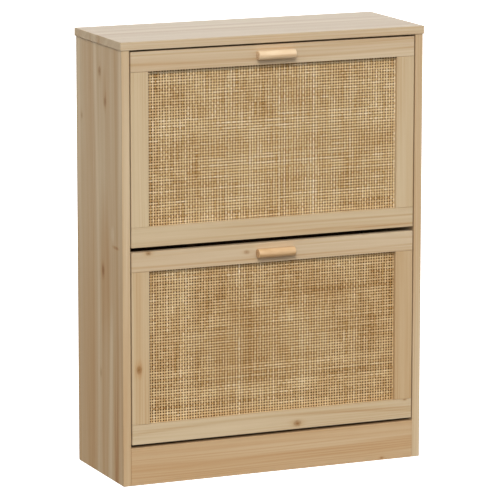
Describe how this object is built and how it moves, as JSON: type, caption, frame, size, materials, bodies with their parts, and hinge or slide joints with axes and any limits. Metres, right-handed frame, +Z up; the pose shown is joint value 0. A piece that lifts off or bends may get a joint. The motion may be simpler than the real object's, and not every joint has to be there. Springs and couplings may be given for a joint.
{
  "type": "tip-out shoe cabinet",
  "caption": "Narrow pine shoe cabinet with tip-out doors, each a frame around woven rattan with a round bar handle and a shoe rack behind it.",
  "frame": {"origin": "on the floor, at the centre of the outer box, handles included", "axes": "+X to the right as seen from the front, +Y from the front to the wall, +Z up; the doors face -Y"},
  "size_m": [0.6, 0.2454, 0.813],
  "materials": {
    "pine_foil": "particleboard with a satin pine-grain surface",
    "pine_frame": "satin pine with visible grain and small knots",
    "turned_wood": "turned light wood with a satin lacquer",
    "rattan": "plain square weave of natural rattan strands, matt",
    "hardboard": "matt brown hardboard",
    "black_plastic": "moulded black plastic",
    "zinc": "zinc-plated steel"
  },
  "bodies": {
    "carcass": {"top_panel": "pine_foil", "side_panel_left": "pine_foil", "side_panel_right": "pine_foil", "bottom_panel": "pine_foil", "plinth_board": "pine_foil", "base_rail_rear": "pine_foil", "middle_stretcher": "pine_foil", "back_panel": "hardboard", "cam_left": "zinc", "cam_bolt_left": "zinc", "top_dowel_left": "turned_wood", "cam_right": "zinc", "cam_bolt_right": "zinc", "top_dowel_right": "turned_wood", "lower_pivot_pin_left": "zinc", "lower_stop_pin_left": "black_plastic", "lower_pivot_pin_right": "zinc", "lower_stop_pin_right": "black_plastic", "upper_pivot_pin_left": "zinc", "upper_stop_pin_left": "black_plastic", "upper_pivot_pin_right": "zinc", "upper_stop_pin_right": "black_plastic"},
    "lower_drawer": {"lower_door_bottom_rail": "pine_frame", "lower_door_top_rail": "pine_frame", "lower_door_stile_left": "pine_frame", "lower_door_stile_right": "pine_frame", "lower_door_rattan": "rattan", "lower_door_backing": "hardboard", "lower_handle": "turned_wood", "lower_handle_screw_left": "zinc", "lower_handle_screw_right": "zinc", "lower_bracket_left": "black_plastic", "lower_bracket_right": "black_plastic", "lower_bracket_screw_left_low": "zinc", "lower_bracket_screw_left_high": "zinc", "lower_bracket_screw_right_low": "zinc", "lower_bracket_screw_right_high": "zinc", "lower_rack_front_ledge": "pine_foil", "lower_rack_divider": "pine_foil", "lower_rack_rear_ledge": "pine_foil", "lower_rack_rear_rest": "pine_foil"},
    "upper_drawer": {"upper_door_bottom_rail": "pine_frame", "upper_door_top_rail": "pine_frame", "upper_door_stile_left": "pine_frame", "upper_door_stile_right": "pine_frame", "upper_door_rattan": "rattan", "upper_door_backing": "hardboard", "upper_handle": "turned_wood", "upper_handle_screw_left": "zinc", "upper_handle_screw_right": "zinc", "upper_bracket_left": "black_plastic", "upper_bracket_right": "black_plastic", "upper_bracket_screw_left_low": "zinc", "upper_bracket_screw_left_high": "zinc", "upper_bracket_screw_right_low": "zinc", "upper_bracket_screw_right_high": "zinc", "upper_rack_front_ledge": "pine_foil", "upper_rack_divider": "pine_foil", "upper_rack_rear_ledge": "pine_foil", "upper_rack_rear_rest": "pine_foil"}
  },
  "joints": [
    {"name": "lower_flip", "type": "hinge", "parent": "carcass", "child": "lower_drawer", "pos_m": [0, -0.07975, 0.151], "axis": [1, 0, 0], "range_deg": [0, 45]},
    {"name": "upper_flip", "type": "hinge", "parent": "carcass", "child": "upper_drawer", "pos_m": [0, -0.07975, 0.5145], "axis": [1, 0, 0], "range_deg": [0, 45]}
  ]
}
